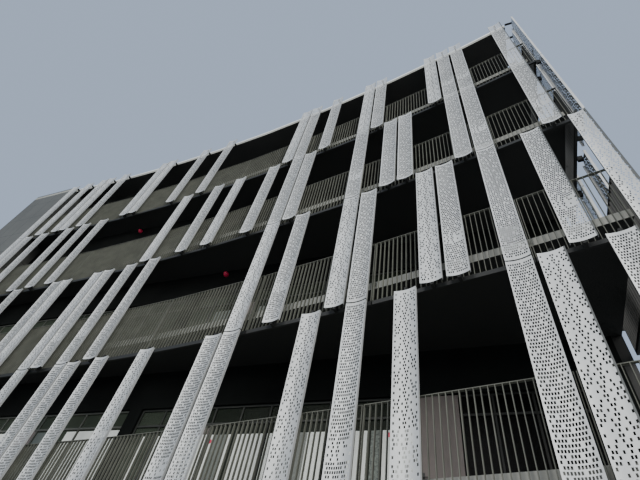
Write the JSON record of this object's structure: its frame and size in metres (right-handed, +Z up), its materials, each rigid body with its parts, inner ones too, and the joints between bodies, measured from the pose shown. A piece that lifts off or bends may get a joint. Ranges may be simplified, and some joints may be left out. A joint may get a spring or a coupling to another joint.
{
  "type": "school building",
  "caption": "Five storeys behind a gently curved front of balconies, with vertical bar balustrades and upright perforated trough louvres set in an irregular rhythm",
  "frame": {"origin": "on the ground, at the middle of the box around the building's plan", "axes": "+X to the right along the front, -Y out of the front, +Z up"},
  "size_m": [25.76, 14.005, 20.35],
  "materials": {
    "concrete": "matte",
    "dark_steel": "satin",
    "dark_wall": "matte",
    "grey_aluminium": "satin",
    "grey_cladding": "matte",
    "pale_door": "satin",
    "perforated_aluminium": "satin",
    "red_lamp": "gloss",
    "white_coping": "satin",
    "window_glass": "clear"
  },
  "bodies": {
    "root": {"back_glass": "window_glass", "back_wall": "grey_cladding", "back_window_frames": "grey_aluminium", "balcony_doors": "pale_door", "balustrade_2": "dark_steel", "balustrade_3": "dark_steel", "balustrade_4": "dark_steel", "balustrade_5": "dark_steel", "core_front_wall": "grey_cladding", "core_side_wall": "grey_cladding", "floor_slab_2": "concrete", "floor_slab_3": "concrete", "floor_slab_4": "concrete", "floor_slab_5": "concrete", "front_glass_1": "window_glass", "front_glass_2": "window_glass", "front_glass_3": "window_glass", "front_glass_4": "window_glass", "front_glass_5": "window_glass", "front_wall_1": "dark_wall", "front_wall_2": "dark_wall", "front_wall_3": "dark_wall", "front_wall_4": "dark_wall", "front_wall_5": "dark_wall", "front_window_frames_1": "grey_aluminium", "front_window_frames_2": "grey_aluminium", "front_window_frames_3": "grey_aluminium", "front_window_frames_4": "grey_aluminium", "front_window_frames_5": "grey_aluminium", "ground_slab": "concrete", "left_end_wall": "grey_cladding", "louvre_panels_2": "perforated_aluminium", "louvre_panels_3": "perforated_aluminium", "louvre_panels_4": "perforated_aluminium", "louvre_panels_5": "perforated_aluminium", "panel_lugs_2": "dark_steel", "panel_lugs_3": "dark_steel", "panel_lugs_4": "dark_steel", "panel_lugs_5": "dark_steel", "panel_lugs_6": "dark_steel", "right_end_wall": "grey_cladding", "roof_coping": "white_coping", "roof_slab": "concrete", "wall_lamps": "red_lamp"}
  },
  "joints": []
}
